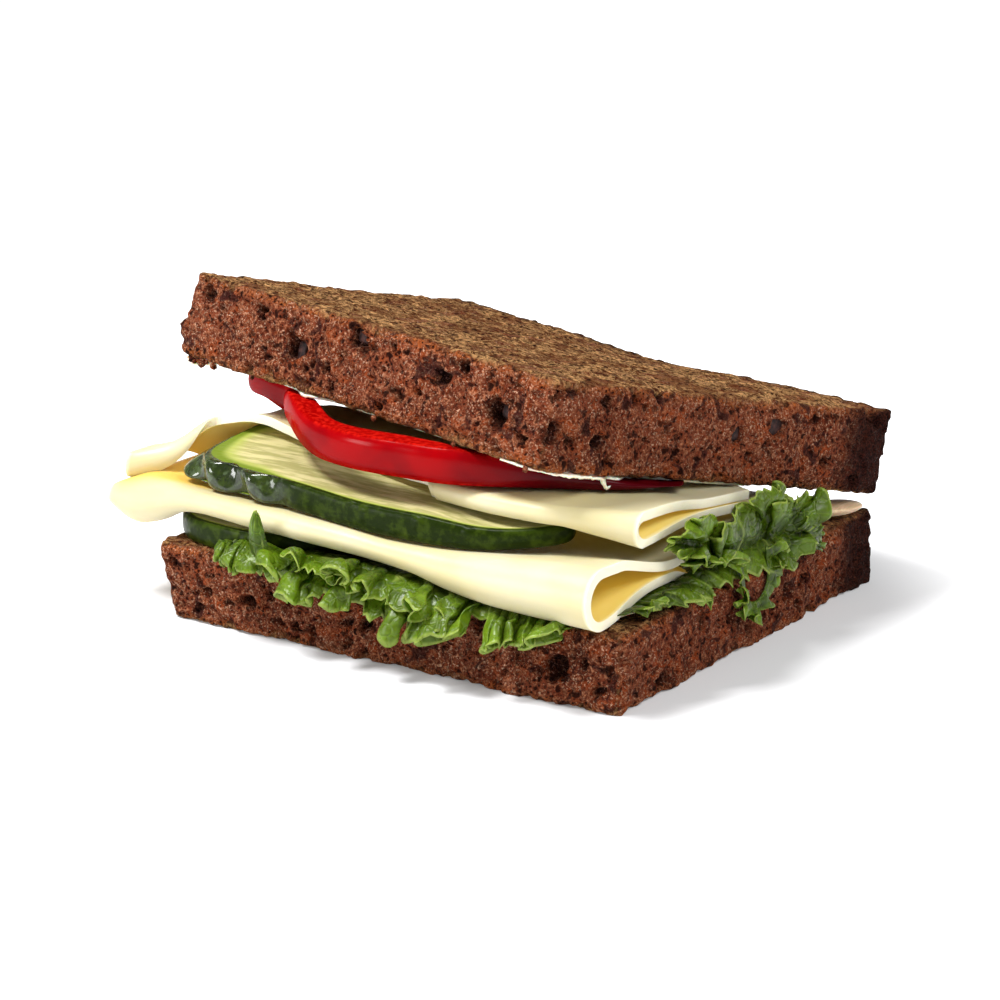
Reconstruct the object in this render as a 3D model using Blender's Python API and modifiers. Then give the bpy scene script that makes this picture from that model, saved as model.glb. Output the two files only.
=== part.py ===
"""Closed rye sandwich: two dark slices, folded cheese, cucumber, pepper ring and frilly lettuce.

Metres, +Z up. The origin is the centre of the bottom slice's underside, +X runs along the
open front of the sandwich to the right and +Y runs to the back.
"""
import math

import bpy
import bmesh
import numpy as np
from mathutils import Euler, Matrix, Vector

MM = 0.001
TAU = 2 * math.pi

# bread
BOTTOM_THICK = 15.4
TOP_THICK = 16.8
TOP_CENTRE = (-5.85, 10.11, 34.2)
TOP_TURN_DEG = (-13.5, 2.15, -13.21)
CORNERS = {
    "bread_bottom": ((-54.5, -50.5, 2.5), (53.5, -50.5, 2.5), (53.5, 50.5, 3.0), (-56.0, 42.0, 6.0)),
    "bread_top": ((-54.5, -50.5, 2.5), (53.5, -50.5, 2.5), (53.5, 50.5, 3.0), (-59.0, 30.0, 6.0)),
}
RIM_ROUND = 1.2
GAP = 0.4

# cheese slices, each folded over along the front
CHEESE_THICK = 1.8
LAYER_GAP = 0.45
LOW_LEFT, LOW_RIGHT = -72.0, 50.0
LOW_FRONT = ((-72, -46.5), (-50, -49.5), (-20, -51.5), (0, -52.0), (20, -53.5), (35, -55.5), (50, -57.0))
LOW_UNDER = ((-72, 17.6), (-66, 15.8), (-59, 18.0), (-51, 21.5), (-32, 21.6), (-20, 21.2), (0, 20.3),
             (8, 19.4), (15, 17.6), (23, 16.4), (31, 16.2), (50, 16.2))
LOW_OVER = ((-69, 25.2), (-62, 26.4), (-50, 26.4), (-34, 26.1), (-10, 25.5), (2, 24.8), (14, 25.0),
            (25, 25.8), (36, 27.0), (50, 28.0))
LOW_PINCH = ((-69, 14.0), (-52, 5.0), (0, 5.0), (14, 12.0), (25, 20.0), (38, 26.0), (50, 28.0))
LOW_TUCK = ((-69, 52.0), (0, 50.0), (30, 44.0), (50, 37.0))
LOW_BACK = ((-72, 38.0), (10, 38.0), (50, 14.0))
LOW_TOP = {
    -44: ((-69, 25.8), (-42, 25.5), (-16, 25.4), (2, 24.4), (14, 24.6), (25, 25.1), (35, 26.0), (50, 27.7)),
    -25: ((-69, 25.5), (-16, 25.4), (-8, 24.0), (35, 23.4), (50, 23.4)),
    -8: ((-69, 25.0), (-16, 24.6), (0, 23.3), (35, 23.6), (50, 25.2)),
    12: ((-69, 23.6), (20, 22.8), (36, 24.2), (50, 27.0)),
    38: ((-69, 23.2), (0, 21.8), (50, 21.2)),
}

UP_LEFT, UP_RIGHT = -71.0, 50.0
UP_FRONT = ((-71, -43.0), (-62, -37.0), (-52, -32.8), (-44, -32.8), (-28, -35.5), (-12, -38.5), (0, -41.3),
            (10, -43.6), (20, -45.2), (30, -45.5), (40, -43.5), (50, -40.0))
UP_OVER = ((-71, 28.8), (-66, 30.2), (-61, 33.0), (-56, 37.4), (-51, 39.2), (-45, 39.4), (-38, 38.2),
           (-30, 36.8), (-20, 35.9), (-10, 35.6), (0, 35.5), (10, 35.8), (30, 35.8), (50, 35.5))
UP_UNDER = ((0, 33.6), (10, 32.1), (20, 31.9), (34, 31.9), (42, 30.4), (50, 28.2))
UP_TUCK = ((-2, 0.0), (6, 0.5), (12, 4.0), (27, 5.0), (35, 20.0), (50, 40.0))
UP_BACK = ((-68, 16.0), (-40, 28.0), (20, 22.0), (50, 3.0))
UP_TOP = {
    -25: ((-70, 28.8), (-64, 31.4), (-59, 36.0), (-54, 38.0), (-40, 37.8), (-28, 37.9), (-12, 37.4),
          (0, 36.5), (20, 35.4), (30, 36.2), (36, 35.6), (50, 34.4)),
    -14: ((-70, 28.8), (-63, 31.2), (-56, 35.2), (-46, 37.5), (-28, 37.6), (-10, 36.6), (0, 35.5),
          (20, 33.8), (50, 32.4)),
    2: ((-70, 28.6), (-56, 30.2), (-44, 32.2), (-28, 31.6), (0, 30.4), (50, 30.3)),
    28: ((-70, 28.4), (-30, 27.6), (0, 27.0), (50, 26.0)),
}

# cucumber
CUKE_THICK = 5.4
CUKE_UP_CENTRE = (-10.5, -34.6)
CUKE_UP_HALF = (46.0, 14.2)
CUKE_UP_YAW = -6.0
CUKE_UP_LEFT = 0.9
CUKE_LOW_CENTRE = (-36.0, -31.5)
CUKE_LOW_HALF = (21.5, 18.6)
CUKE_LOW_THICK = 5.0

# pepper ring, measured round its centre
RING_CENTRE = (-3.0, -17.0)
RING_OUT = ((0, 49.0), (14, 44.0), (30, 36.0), (50, 30.0), (75, 27.0), (100, 26.5), (125, 29.0), (150, 40.0),
            (170, 52.0), (181, 54.0), (188, 46.0), (193, 39.5), (200, 38.0), (212, 35.5), (231, 33.4),
            (254, 31.8), (276, 31.1), (297, 33.5), (313, 35.4), (328, 39.1), (345, 46.5), (360, 49.0))
RING_WALL = 5.4
RING_TALL = 7.8
RING_REST = ((-48, 36.6), (-30, 36.3), (-15, 34.8), (0, 32.6), (12, 31.1))

# lettuce: where it starts and stops, the bread faces it hangs over and the floor of its foot
FRILL_FRONT = (-39.0, 42.0)
FRILL_RIGHT = (-30.0, 33.2)
FACE = 50.5 + GAP
SIDE = 53.5 + GAP
FOOT = BOTTOM_THICK + GAP
FOOT_THICK = 0.9
DEEP_FOOT = 38.0

PAINTS = {
    "bread_bottom": (0.11, 0.045, 0.025), "bread_top": (0.13, 0.055, 0.032),
    "cheese_lower": (0.88, 0.83, 0.62), "cheese_upper": (0.86, 0.80, 0.58),
    "cucumber_lower": (0.10, 0.16, 0.02), "cucumber_upper": (0.12, 0.18, 0.03),
    "pepper_ring": (0.55, 0.01, 0.01), "lettuce_front": (0.10, 0.20, 0.02),
    "lettuce_right": (0.11, 0.22, 0.02), "rib_front": (0.62, 0.58, 0.40), "rib_right": (0.60, 0.50, 0.36),
}


def along(points, at):
    """Smooth value at a place between named stations."""
    xs = [p[0] for p in points]
    zs = [p[1] for p in points]
    at = min(max(at, xs[0]), xs[-1])
    i = min(int(np.searchsorted(xs, at, side="right")) - 1, len(xs) - 2)
    i = max(i, 0)
    span = xs[i + 1] - xs[i]
    t = (at - xs[i]) / span
    rise = (zs[i + 1] - zs[i]) / span
    before = (zs[i] - zs[i - 1]) / (xs[i] - xs[i - 1]) if i > 0 else rise
    after = (zs[i + 2] - zs[i + 1]) / (xs[i + 2] - xs[i + 1]) if i + 2 < len(xs) else rise
    m0 = 0.5 * (before + rise) if before * rise > 0 else 0.0
    m1 = 0.5 * (after + rise) if after * rise > 0 else 0.0
    h = t * t * (3 - 2 * t)
    return zs[i] + (zs[i + 1] - zs[i]) * h + span * (t * (1 - t) ** 2 * m0 - t * t * (1 - t) * m1)


def ease(low, high, value):
    """Smooth step from 0 to 1."""
    t = min(max((value - low) / (high - low), 0.0), 1.0)
    return t * t * (3 - 2 * t)


def lid(x, y):
    """Height of the top slice's underside."""
    return 35.95 - 0.0913 * x - 0.2258 * y


def collection(name):
    made = bpy.data.collections.new(name)
    bpy.context.scene.collection.children.link(made)
    return made


def finish(name, bm, group):
    """Turn a bmesh in millimetres into a named object in metres with its own material."""
    bmesh.ops.recalc_face_normals(bm, faces=bm.faces)
    bmesh.ops.scale(bm, vec=(MM, MM, MM), verts=bm.verts)
    mesh = bpy.data.meshes.new(name)
    bm.to_mesh(mesh)
    bm.free()
    paint = bpy.data.materials.new(name)
    paint.use_nodes = True
    shader = paint.node_tree.nodes["Principled BSDF"]
    shader.inputs["Base Color"].default_value = (*PAINTS[name], 1.0)
    shader.inputs["Roughness"].default_value = 0.6
    paint.diffuse_color = (*PAINTS[name], 1.0)
    mesh.materials.append(paint)
    made = bpy.data.objects.new(name, mesh)
    group.objects.link(made)
    return made


def slab(name, thick, place, group):
    """A bread slice: a box with its corners placed, round upright corners and a softened rim."""
    bm = bmesh.new()
    bmesh.ops.create_cube(bm, size=2.0)
    for x, y, _ in CORNERS[name]:
        for vert in [v for v in bm.verts if v.co.x * x > 0 and v.co.y * y > 0]:
            vert.co = Vector((x, y, thick if vert.co.z > 0 else 0.0))
    for x, y, radius in CORNERS[name]:
        edge = [e for e in bm.edges if all(abs(v.co.x - x) < 0.01 and abs(v.co.y - y) < 0.01 for v in e.verts)]
        bmesh.ops.bevel(bm, geom=edge, offset=radius, offset_type="OFFSET", segments=4, profile=0.5,
                        affect="EDGES", material=-1)
    rim = [e for e in bm.edges if abs(e.verts[0].co.z - e.verts[1].co.z) < 0.01]
    bmesh.ops.bevel(bm, geom=rim, offset=RIM_ROUND, offset_type="OFFSET", segments=2, profile=0.5,
                    affect="EDGES", material=-1)
    bmesh.ops.transform(bm, matrix=place, verts=bm.verts)
    return finish(name, bm, group)


def sheet(name, across, deep, place, thick, group):
    """A thin slice: a flat grid laid out by a placing function, then given its thickness."""
    bm = bmesh.new()
    bmesh.ops.create_grid(bm, x_segments=across, y_segments=deep, size=0.5)
    for vert in bm.verts:
        vert.co = Vector(place(vert.co.x + 0.5, vert.co.y + 0.5))
    made = finish(name, bm, group)
    body = made.modifiers.new("thickness", "SOLIDIFY")
    body.thickness = thick * MM
    body.offset = 0.0
    body.use_rim = True
    return made


def surface(rows, x, y):
    """Smooth height over the plan from rows of named stations."""
    return along([(row, along(rows[row], x)) for row in sorted(rows)], y)


def strip(v, tuck, over, half):
    """Place of a strip point: layer side, distance behind the nose and how far out of the nose."""
    turn = math.pi * half
    begin = half - tuck if tuck >= half else turn * (1 - tuck / half)
    end = turn + over - half
    first = max(0.0, begin + 1.2)
    second = max(turn, first + 1.2)
    s = float(np.interp(v, (0.0, 0.3, 0.6, 1.0), (begin, first, second, end)))
    if s < 0:
        return -1, half - s, 1.0
    if s > turn:
        return 1, half + s - turn, 1.0
    angle = s / half - math.pi / 2
    return (1 if angle > 0 else -1), half * (1 - math.cos(angle)), abs(math.sin(angle))


def cheese_low(u, v):
    """Lower cheese: under layer, fold and over layer of one slice."""
    x = LOW_LEFT + (LOW_RIGHT - LOW_LEFT) * u
    over = along(LOW_OVER, x) - CHEESE_THICK / 2
    under = along(LOW_UNDER, x) + CHEESE_THICK / 2
    nose = along(LOW_FRONT, x) + CHEESE_THICK / 2
    half = (over - under) / 2
    side, depth, spread = strip(v, along(LOW_TUCK, x), along(LOW_BACK, x) - nose, half)
    y = nose + depth
    level = surface(LOW_TOP, x, y) - CHEESE_THICK / 2
    if side > 0:
        near = ease(0.0, 7.0, depth - half)
        z = over * (1 - near) + level * near
    else:
        near = ease(0.0, along(LOW_PINCH, x), depth - half)
        z = under * (1 - near) + (level - CHEESE_THICK - LAYER_GAP) * near
        droop = 2.6 * ease(28, 50, x) * ease(-27, -18, y)
        z = z if y < -44 else max(z - droop, 17.1 + CHEESE_THICK / 2)
    middle = (over + under) / 2
    return x, y, middle + (z - middle) * spread


def cheese_up(u, v):
    """Upper cheese: one layer over the cucumber at the left, folded double at the right."""
    x = UP_LEFT + (UP_RIGHT - UP_LEFT) * u
    front = along(UP_FRONT, x)
    over = along(UP_OVER, x) - CHEESE_THICK / 2
    half = max((over - along(UP_UNDER, x) - CHEESE_THICK / 2) / 2, 1.1)
    nose = front + CHEESE_THICK / 2
    side, depth, spread = strip(v, along(UP_TUCK, x), along(UP_BACK, x) - nose, half)
    y = nose + depth
    rows = dict(UP_TOP)
    rows[front] = UP_OVER
    level = surface(rows, x, y) - CHEESE_THICK / 2
    if side > 0:
        z = level
    else:
        near = ease(0.0, 8.0 + 30.0 * ease(24, 50, x), depth - half)
        z = (over - 2 * half) * (1 - near) + (level - CHEESE_THICK - LAYER_GAP) * near
    middle = over - half
    return x, y, middle + (z - middle) * spread


def bed_up(x, y):
    """Underside of the upper cucumber slice, leaning to the front more at its left end."""
    lean = 0.14 - 0.08 * ease(-12, 26, x)
    return 25.35 + 0.8 * ease(-5, -28, x) + 1.6 * ease(16, 36, x) + lean * (y + 50)


def bed_low(x, y):
    """Underside of the lower cucumber slice, flat on the bread."""
    return FOOT


def oval(name, half, centre, yaw, left, thick, bend, group):
    """A cucumber slice: a flat oval standing on its bed, shortened by left at its left end."""
    bm = bmesh.new()
    bmesh.ops.create_circle(bm, cap_ends=True, segments=56, radius=1.0)
    bmesh.ops.scale(bm, vec=(half[0], half[1], 1.0), verts=bm.verts)
    bmesh.ops.scale(bm, vec=(left, 1.0, 1.0), verts=[v for v in bm.verts if v.co.x < 0])
    for rim in (0.7, 5.0, 5.0):
        core = min(bm.faces, key=lambda f: f.calc_center_median().length - len(f.verts))
        bmesh.ops.inset_region(bm, faces=[core], thickness=rim, depth=0.0, use_even_offset=True)
    grown = bmesh.ops.extrude_face_region(bm, geom=list(bm.faces))
    lifted = [g for g in grown["geom"] if isinstance(g, bmesh.types.BMVert)]
    for vert in lifted:
        vert.co.z = thick * (1 - 0.3 * ease(0.4, 0.9, vert.co.x / half[0]))
    place = Matrix.Translation((*centre, 0)) @ Matrix.Rotation(math.radians(yaw), 4, "Z")
    bmesh.ops.transform(bm, matrix=place, verts=bm.verts)
    for vert in bm.verts:
        vert.co.z += bend(vert.co.x, vert.co.y)
    return finish(name, bm, group)


def ring_foot(x, y):
    """Underside of the pepper ring, resting on the upper cheese."""
    return along(RING_REST, y) + 2.2 * ease(-18, -38, x) + 2.4 * ease(-38, -52, x)


def pepper(u, v):
    """Wall of the pepper ring: u runs round the ring and v round the wall's section."""
    angle = 360 * u
    turn = TAU * v
    in_out = 0.5 + 0.5 * math.copysign(abs(math.cos(turn)) ** 0.5, math.cos(turn))
    up_down = 0.5 + 0.5 * math.copysign(abs(math.sin(turn)) ** 0.5, math.sin(turn))
    radius = along(RING_OUT, angle % 360) - RING_WALL * (1 - in_out)
    x = RING_CENTRE[0] + radius * math.cos(math.radians(angle))
    y = RING_CENTRE[1] + radius * math.sin(math.radians(angle))
    foot = ring_foot(x, y)
    roof = min(foot + RING_TALL, lid(x, y) - 0.5)
    return x, y, foot + (roof - foot) * up_down


def ring(name, around, section, group):
    bm = bmesh.new()
    bmesh.ops.create_grid(bm, x_segments=around, y_segments=section, size=0.5)
    for vert in bm.verts:
        vert.co = Vector(pepper(vert.co.x + 0.5, vert.co.y + 0.5))
    bmesh.ops.remove_doubles(bm, verts=bm.verts, dist=0.0001)
    return finish(name, bm, group)


def loft(name, sections, group):
    """A closed body through a row of sections with the same number of corners."""
    bm = bmesh.new()
    rows = [[bm.verts.new(p) for p in section] for section in sections]
    count = len(rows[0])
    for one, two in zip(rows, rows[1:]):
        for i in range(count):
            j = (i + 1) % count
            bm.faces.new((one[i], one[j], two[j], two[i]))
    bm.faces.new(rows[0])
    bm.faces.new(list(reversed(rows[-1])))
    return finish(name, bm, group)


def frill_front(x):
    """Section of the front lettuce: a foot under the cheese and a frill down the bread's face."""
    edge = math.sin(0.42 * x) + 0.6 * math.sin(0.93 * x + 1.0)
    sag = 7.6 - 2.4 * ease(-38, 0, x) - 1.3 * ease(0, 30, x)
    low = sag + 1.3 * edge + 5.0 * ease(-30, -39, x) + 4.0 * ease(34, 42, x)
    high = min(along(LOW_UNDER, x) - 0.5, 20.6 if x > -14 else 18.5)
    out = FACE + 3.6 + 0.8 * math.sin(0.65 * x + 0.5)
    back = FACE + 0.8 - DEEP_FOOT * ease(-12.5, -8, x) * ease(17, 10, x)
    deep = back <= 45
    top = min(high, FOOT + (2 if deep else 1) * FOOT_THICK)
    return ((x, -back, FOOT), (x, -FACE, FOOT), (x, -FACE, low + 1.0), (x, -out + 1.4, low),
            (x, -out, low + 1.6), (x, -out - 0.4, 0.5 * (low + high)), (x, -FACE - 1.8, high),
            (x, -FACE + 0.6 if deep else -back - 0.3, high if deep else high - 0.2),
            (x, -back, top))


def frill_right(y):
    """Section of the right lettuce: a foot on the slice, a crest and strands down its side."""
    strand = ease(-10, -1, y) * ease(19, 12, y)
    wave = math.sin(0.5 * y) + 0.5 * math.sin(1.1 * y + 2.0)
    low = 14.2 - 8.2 * strand + 0.9 * wave - 2.0 * ease(18, 30, y)
    crest = 20.0 + 5.6 * ease(-26, -8, y) + 0.9 * wave - 4.0 * ease(14, 33, y)
    out = SIDE + 3.0 + 0.7 * wave + 0.8 * strand
    shelf = FOOT + FOOT_THICK
    return ((42.0, y, FOOT), (SIDE, y, FOOT), (SIDE, y, min(low + 0.8, 15.0)), (out - 1.0, y, min(low, 14.4)),
            (out, y, 0.5 * (low + crest)), (out - 1.6, y, crest - 1.0), (52.4, y, crest),
            (51.0, y, crest - 1.0), (50.9, y, shelf + 0.3), (49.0, y, shelf), (42.0, y, shelf))


def tongue(name, centre, half, turn, lift, group):
    """A pale flat rib end."""
    bm = bmesh.new()
    bmesh.ops.create_uvsphere(bm, u_segments=20, v_segments=10, radius=1.0)
    bmesh.ops.scale(bm, vec=half, verts=bm.verts)
    place = Matrix.Translation(centre) @ Euler((math.radians(lift), 0, math.radians(turn))).to_matrix().to_4x4()
    bmesh.ops.transform(bm, matrix=place, verts=bm.verts)
    return finish(name, bm, group)


def build():
    for old in list(bpy.data.objects):
        bpy.data.objects.remove(old, do_unlink=True)
    group = collection("rye_sandwich")
    turn = Euler([math.radians(a) for a in TOP_TURN_DEG]).to_matrix().to_4x4()
    slab("bread_bottom", BOTTOM_THICK, Matrix.Identity(4), group)
    slab("bread_top", TOP_THICK, Matrix.Translation(TOP_CENTRE) @ turn, group)
    sheet("cheese_lower", 26, 24, cheese_low, CHEESE_THICK, group)
    sheet("cheese_upper", 28, 20, cheese_up, CHEESE_THICK, group)
    oval("cucumber_upper", CUKE_UP_HALF, CUKE_UP_CENTRE, CUKE_UP_YAW, CUKE_UP_LEFT, CUKE_THICK, bed_up, group)
    oval("cucumber_lower", CUKE_LOW_HALF, CUKE_LOW_CENTRE, 0.0, 1.0, CUKE_LOW_THICK, bed_low, group)
    ring("pepper_ring", 56, 10, group)
    loft("lettuce_front", [frill_front(x) for x in np.linspace(*FRILL_FRONT, 41)], group)
    loft("lettuce_right", [frill_right(y) for y in np.linspace(*FRILL_RIGHT, 34)], group)
    tongue("rib_front", (46.4, -39.0, 16.35), (4.6, 5.4, 0.5), -20.0, 0.0, group)
    tongue("rib_right", (49.4, 39.0, 17.3), (3.4, 5.2, 1.4), 20.0, -3.0, group)


build()
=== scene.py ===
import math
import random

import bpy
import bmesh
import numpy as np
from mathutils import Euler, Matrix, Vector, noise


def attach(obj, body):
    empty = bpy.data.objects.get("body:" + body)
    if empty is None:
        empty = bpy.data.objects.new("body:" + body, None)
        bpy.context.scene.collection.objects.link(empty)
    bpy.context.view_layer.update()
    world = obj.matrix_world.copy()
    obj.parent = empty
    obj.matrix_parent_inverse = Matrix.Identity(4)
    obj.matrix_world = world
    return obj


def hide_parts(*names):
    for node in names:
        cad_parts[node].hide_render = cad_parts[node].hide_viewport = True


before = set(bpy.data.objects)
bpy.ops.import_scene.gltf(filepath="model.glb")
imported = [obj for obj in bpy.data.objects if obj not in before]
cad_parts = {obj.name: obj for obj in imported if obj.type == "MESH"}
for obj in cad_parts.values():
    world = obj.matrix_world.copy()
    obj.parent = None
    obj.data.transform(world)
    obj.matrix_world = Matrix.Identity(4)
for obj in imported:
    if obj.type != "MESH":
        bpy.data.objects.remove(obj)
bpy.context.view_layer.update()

MM = 0.001
TAU = 2 * math.pi

# bread, in millimetres, as in the frame
BOTTOM_THICK = 15.4
TOP_THICK = 16.8
TOP_PLACE = Matrix.Translation((-5.85, 10.11, 34.2)) @ Euler(
    [math.radians(a) for a in (-13.5, 2.15, -13.21)]).to_matrix().to_4x4()
BOTTOM_CORNERS = ((-54.5, -50.5), (53.5, -50.5), (53.5, 50.5), (-56.0, 42.0))
TOP_CORNERS = ((-54.5, -50.5), (53.5, -50.5), (53.5, 50.5), (-59.0, 30.0))
HALF = np.array((54.0, 50.0, 8.0))
SLICE_CUTS = (175, 162, 46)
CORNER_ROUND = 3.0
RIM_ROUND = 1.5
BOTTOM_HOLLOWS = (
    (39.6, -50.5, 6.7, 2.6), (-33, -50.5, 6.3, 1.8), (11, -50.5, 8.3, 1.6), (53.5, 12, 7.3, 2.0),
    (53.5, -20.6, 9.9, 1.6), (-20.5, -50.5, 3.5, 1.6), (53.5, -35.4, 2.5, 2.0))
TOP_HOLLOWS = (
    (-48.1, -50.5, 13.6, 2.0), (-30.4, -50.5, 13.0, 1.8), (-19.2, -50.5, 7.9, 2.6), (-19.8, -50.5, 10.2, 1.8),
    (-1.3, -50.5, 14.0, 2.3), (0.5, -50.5, 12.0, 1.5), (24.4, -50.5, 11.5, 2.0), (29.2, -50.5, 13.9, 1.7),
    (40.0, -50.5, 7.8, 3.0), (53.5, -48.5, 6.9, 2.0), (53.5, -37.0, 6.2, 1.8), (53.5, -36.0, 13.9, 1.6),
    (53.5, 13.3, 12.1, 1.9), (53.5, 2.4, 9.5, 1.6), (13.2, -50.5, 5.2, 1.5), (-8.6, -50.5, 6.0, 1.3))
# place and half sizes of each whole grain, in the top slice's own frame
GRAINS = (
    ((52.2, 13.3, 12.1), (1.0, 2.1, 2.1)), ((51.6, 2.6, 9.8), (0.9, 1.2, 1.6)),
    ((-18.4, -48.2, 7.6), (1.1, 0.9, 2.0)), ((-1.0, -48.4, 14.0), (1.5, 0.9, 1.2)),
    ((0.4, -49.9, 3.8), (0.8, 0.8, 0.7)), ((41.0, -47.6, 8.4), (1.6, 0.9, 1.3)))
# place and width of each loose crumb, in the top slice's own frame
CRUMBS = (
    ((-50.8, -50.0, -0.7), 1.6), ((-49.6, -50.2, -1.2), 1.0), ((-47.0, -50.4, -0.9), 1.9),
    ((-45.6, -50.2, -0.5), 0.8), ((-42.8, -50.6, -0.8), 1.5), ((-30.0, -50.8, -0.4), 1.0),
    ((8.0, -51.0, -0.4), 1.2), ((31.0, -51.2, -0.3), 0.9), ((50.5, -51.0, -0.4), 1.1))

# cheese
CHEESE_THICK = 1.8
LAYER_GAP = 0.45
LOW_LEFT, LOW_RIGHT = -72.0, 50.0
LOW_FRONT = ((-72, -46.5), (-50, -49.5), (-20, -51.5), (0, -52.0), (20, -53.5), (35, -55.5), (50, -57.0))
LOW_UNDER = ((-72, 17.6), (-66, 15.8), (-59, 18.0), (-51, 21.5), (-32, 21.6), (-20, 21.2), (0, 20.3),
             (8, 19.4), (15, 17.6), (23, 16.4), (31, 16.2), (50, 16.2))
LOW_OVER = ((-69, 25.2), (-62, 26.4), (-50, 26.4), (-34, 26.1), (-10, 25.5), (2, 24.8), (14, 25.0),
            (25, 25.8), (36, 27.0), (50, 28.0))
LOW_PINCH = ((-69, 14.0), (-52, 5.0), (0, 5.0), (14, 12.0), (25, 20.0), (38, 26.0), (50, 28.0))
LOW_TUCK = ((-69, 52.0), (0, 50.0), (30, 44.0), (50, 37.0))
LOW_BACK = ((-72, 38.0), (10, 38.0), (50, 14.0))
LOW_TOP = {
    -44: ((-69, 25.8), (-42, 25.5), (-16, 25.4), (2, 24.4), (14, 24.6), (25, 25.1), (35, 26.0), (50, 27.7)),
    -25: ((-69, 25.5), (-16, 25.4), (-8, 24.0), (35, 23.4), (50, 23.4)),
    -8: ((-69, 25.0), (-16, 24.6), (0, 23.3), (35, 23.6), (50, 25.2)),
    12: ((-69, 23.6), (20, 22.8), (36, 24.2), (50, 27.0)),
    38: ((-69, 23.2), (0, 21.8), (50, 21.2)),
}
UP_LEFT, UP_RIGHT = -71.0, 50.0
UP_FRONT = ((-71, -43.0), (-62, -37.0), (-52, -32.8), (-44, -32.8), (-28, -35.5), (-12, -38.5), (0, -41.3),
            (10, -43.6), (20, -45.2), (30, -45.5), (40, -43.5), (50, -40.0))
UP_OVER = ((-71, 28.8), (-66, 30.2), (-61, 33.0), (-56, 37.4), (-51, 39.2), (-45, 39.4), (-38, 38.2),
           (-30, 36.8), (-20, 35.9), (-10, 35.6), (0, 35.5), (10, 35.8), (30, 35.8), (50, 35.5))
UP_UNDER = ((0, 33.6), (10, 32.1), (20, 31.9), (34, 31.9), (42, 30.4), (50, 28.2))
UP_TUCK = ((-71, 1.9), (-64, 1.5), (-56, 0.3), (-50, 0.0), (-2, 0.0), (6, 0.5), (12, 4.0), (27, 5.0),
           (35, 20.0), (50, 40.0))
UP_BACK = ((-68, 16.0), (-40, 28.0), (20, 22.0), (50, 3.0))
UP_TOP = {
    -25: ((-70, 28.8), (-64, 31.4), (-59, 36.0), (-54, 38.0), (-40, 37.8), (-28, 37.9), (-12, 37.4),
          (0, 36.5), (20, 35.4), (30, 36.2), (36, 35.6), (50, 34.4)),
    -14: ((-70, 28.8), (-63, 31.2), (-56, 35.2), (-46, 37.5), (-28, 37.6), (-10, 36.6), (0, 35.5),
          (20, 33.8), (50, 32.4)),
    2: ((-70, 28.6), (-56, 30.2), (-44, 32.2), (-28, 31.6), (0, 30.4), (50, 30.3)),
    28: ((-70, 28.4), (-30, 27.6), (0, 27.0), (50, 26.0)),
}

# cucumber
CUKE_THICK = 5.4
CUKE_UP_CENTRE = (-10.5, -34.6)
CUKE_UP_HALF = (46.0, 14.2)
CUKE_UP_YAW = -6.0
CUKE_LOW_CENTRE = (-36.0, -31.5)
CUKE_LOW_HALF = (21.5, 18.6)
CUKE_LOW_THICK = 5.0
# shares of the way round from the middle of one cut face to the middle of the skin
CUKE_FACE, CUKE_WALL = 0.36, 0.14

# leaves and butter
LEAF_THICK = 0.24
BUTTER_THICK = 0.45

# pepper ring, measured round its centre
RING_CENTRE = (-3.0, -17.0)
RING_OUT = ((0, 49.0), (14, 44.0), (30, 36.0), (50, 30.0), (75, 27.0), (100, 26.5), (125, 29.0), (150, 40.0),
            (170, 52.0), (181, 54.0), (188, 46.0), (193, 39.5), (200, 38.0), (212, 35.5), (231, 33.4),
            (254, 31.8), (276, 31.1), (297, 33.5), (313, 35.4), (328, 39.1), (345, 46.5), (360, 49.0))
RING_WALL = 5.4
RING_TALL = 7.8
RING_REST = ((-48, 36.6), (-30, 36.3), (-15, 34.8), (0, 32.6), (12, 31.1))


# ---------------------------------------------------------------- shape helpers

def along(points, at):
    """Smooth value at a place between named stations."""
    xs = [p[0] for p in points]
    zs = [p[1] for p in points]
    at = min(max(at, xs[0]), xs[-1])
    i = max(min(int(np.searchsorted(xs, at, side="right")) - 1, len(xs) - 2), 0)
    span = xs[i + 1] - xs[i]
    t = (at - xs[i]) / span
    rise = (zs[i + 1] - zs[i]) / span
    before = (zs[i] - zs[i - 1]) / (xs[i] - xs[i - 1]) if i > 0 else rise
    after = (zs[i + 2] - zs[i + 1]) / (xs[i + 2] - xs[i + 1]) if i + 2 < len(xs) else rise
    m0 = 0.5 * (before + rise) if before * rise > 0 else 0.0
    m1 = 0.5 * (after + rise) if after * rise > 0 else 0.0
    h = t * t * (3 - 2 * t)
    return zs[i] + (zs[i + 1] - zs[i]) * h + span * (t * (1 - t) ** 2 * m0 - t * t * (1 - t) * m1)


def ease(low, high, value):
    """Smooth step from 0 to 1, for numbers and arrays."""
    t = np.clip((value - low) / (high - low), 0.0, 1.0)
    return t * t * (3 - 2 * t)


def surface(rows, x, y):
    """Smooth height over the plan from rows of named stations."""
    return along([(row, along(rows[row], x)) for row in sorted(rows)], y)


def lid(x, y):
    """Height of the top slice's underside."""
    return 35.95 - 0.0913 * x - 0.2258 * y


def lumps(points, size, seed):
    """Smooth random relief from -1 to 1 with features of the given size."""
    table = np.random.default_rng(seed).uniform(-1, 1, (32, 32, 32))
    p = points / size
    cell = np.floor(p).astype(int)
    f = p - cell
    f = f * f * (3 - 2 * f)
    total = np.zeros(len(points))
    for dx in (0, 1):
        for dy in (0, 1):
            for dz in (0, 1):
                weight = (f[:, 0] if dx else 1 - f[:, 0]) * (f[:, 1] if dy else 1 - f[:, 1])
                weight = weight * (f[:, 2] if dz else 1 - f[:, 2])
                i, j, k = [(cell[:, axis] + step) % 32 for axis, step in enumerate((dx, dy, dz))]
                total += weight * table[i, j, k]
    return total


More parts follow.
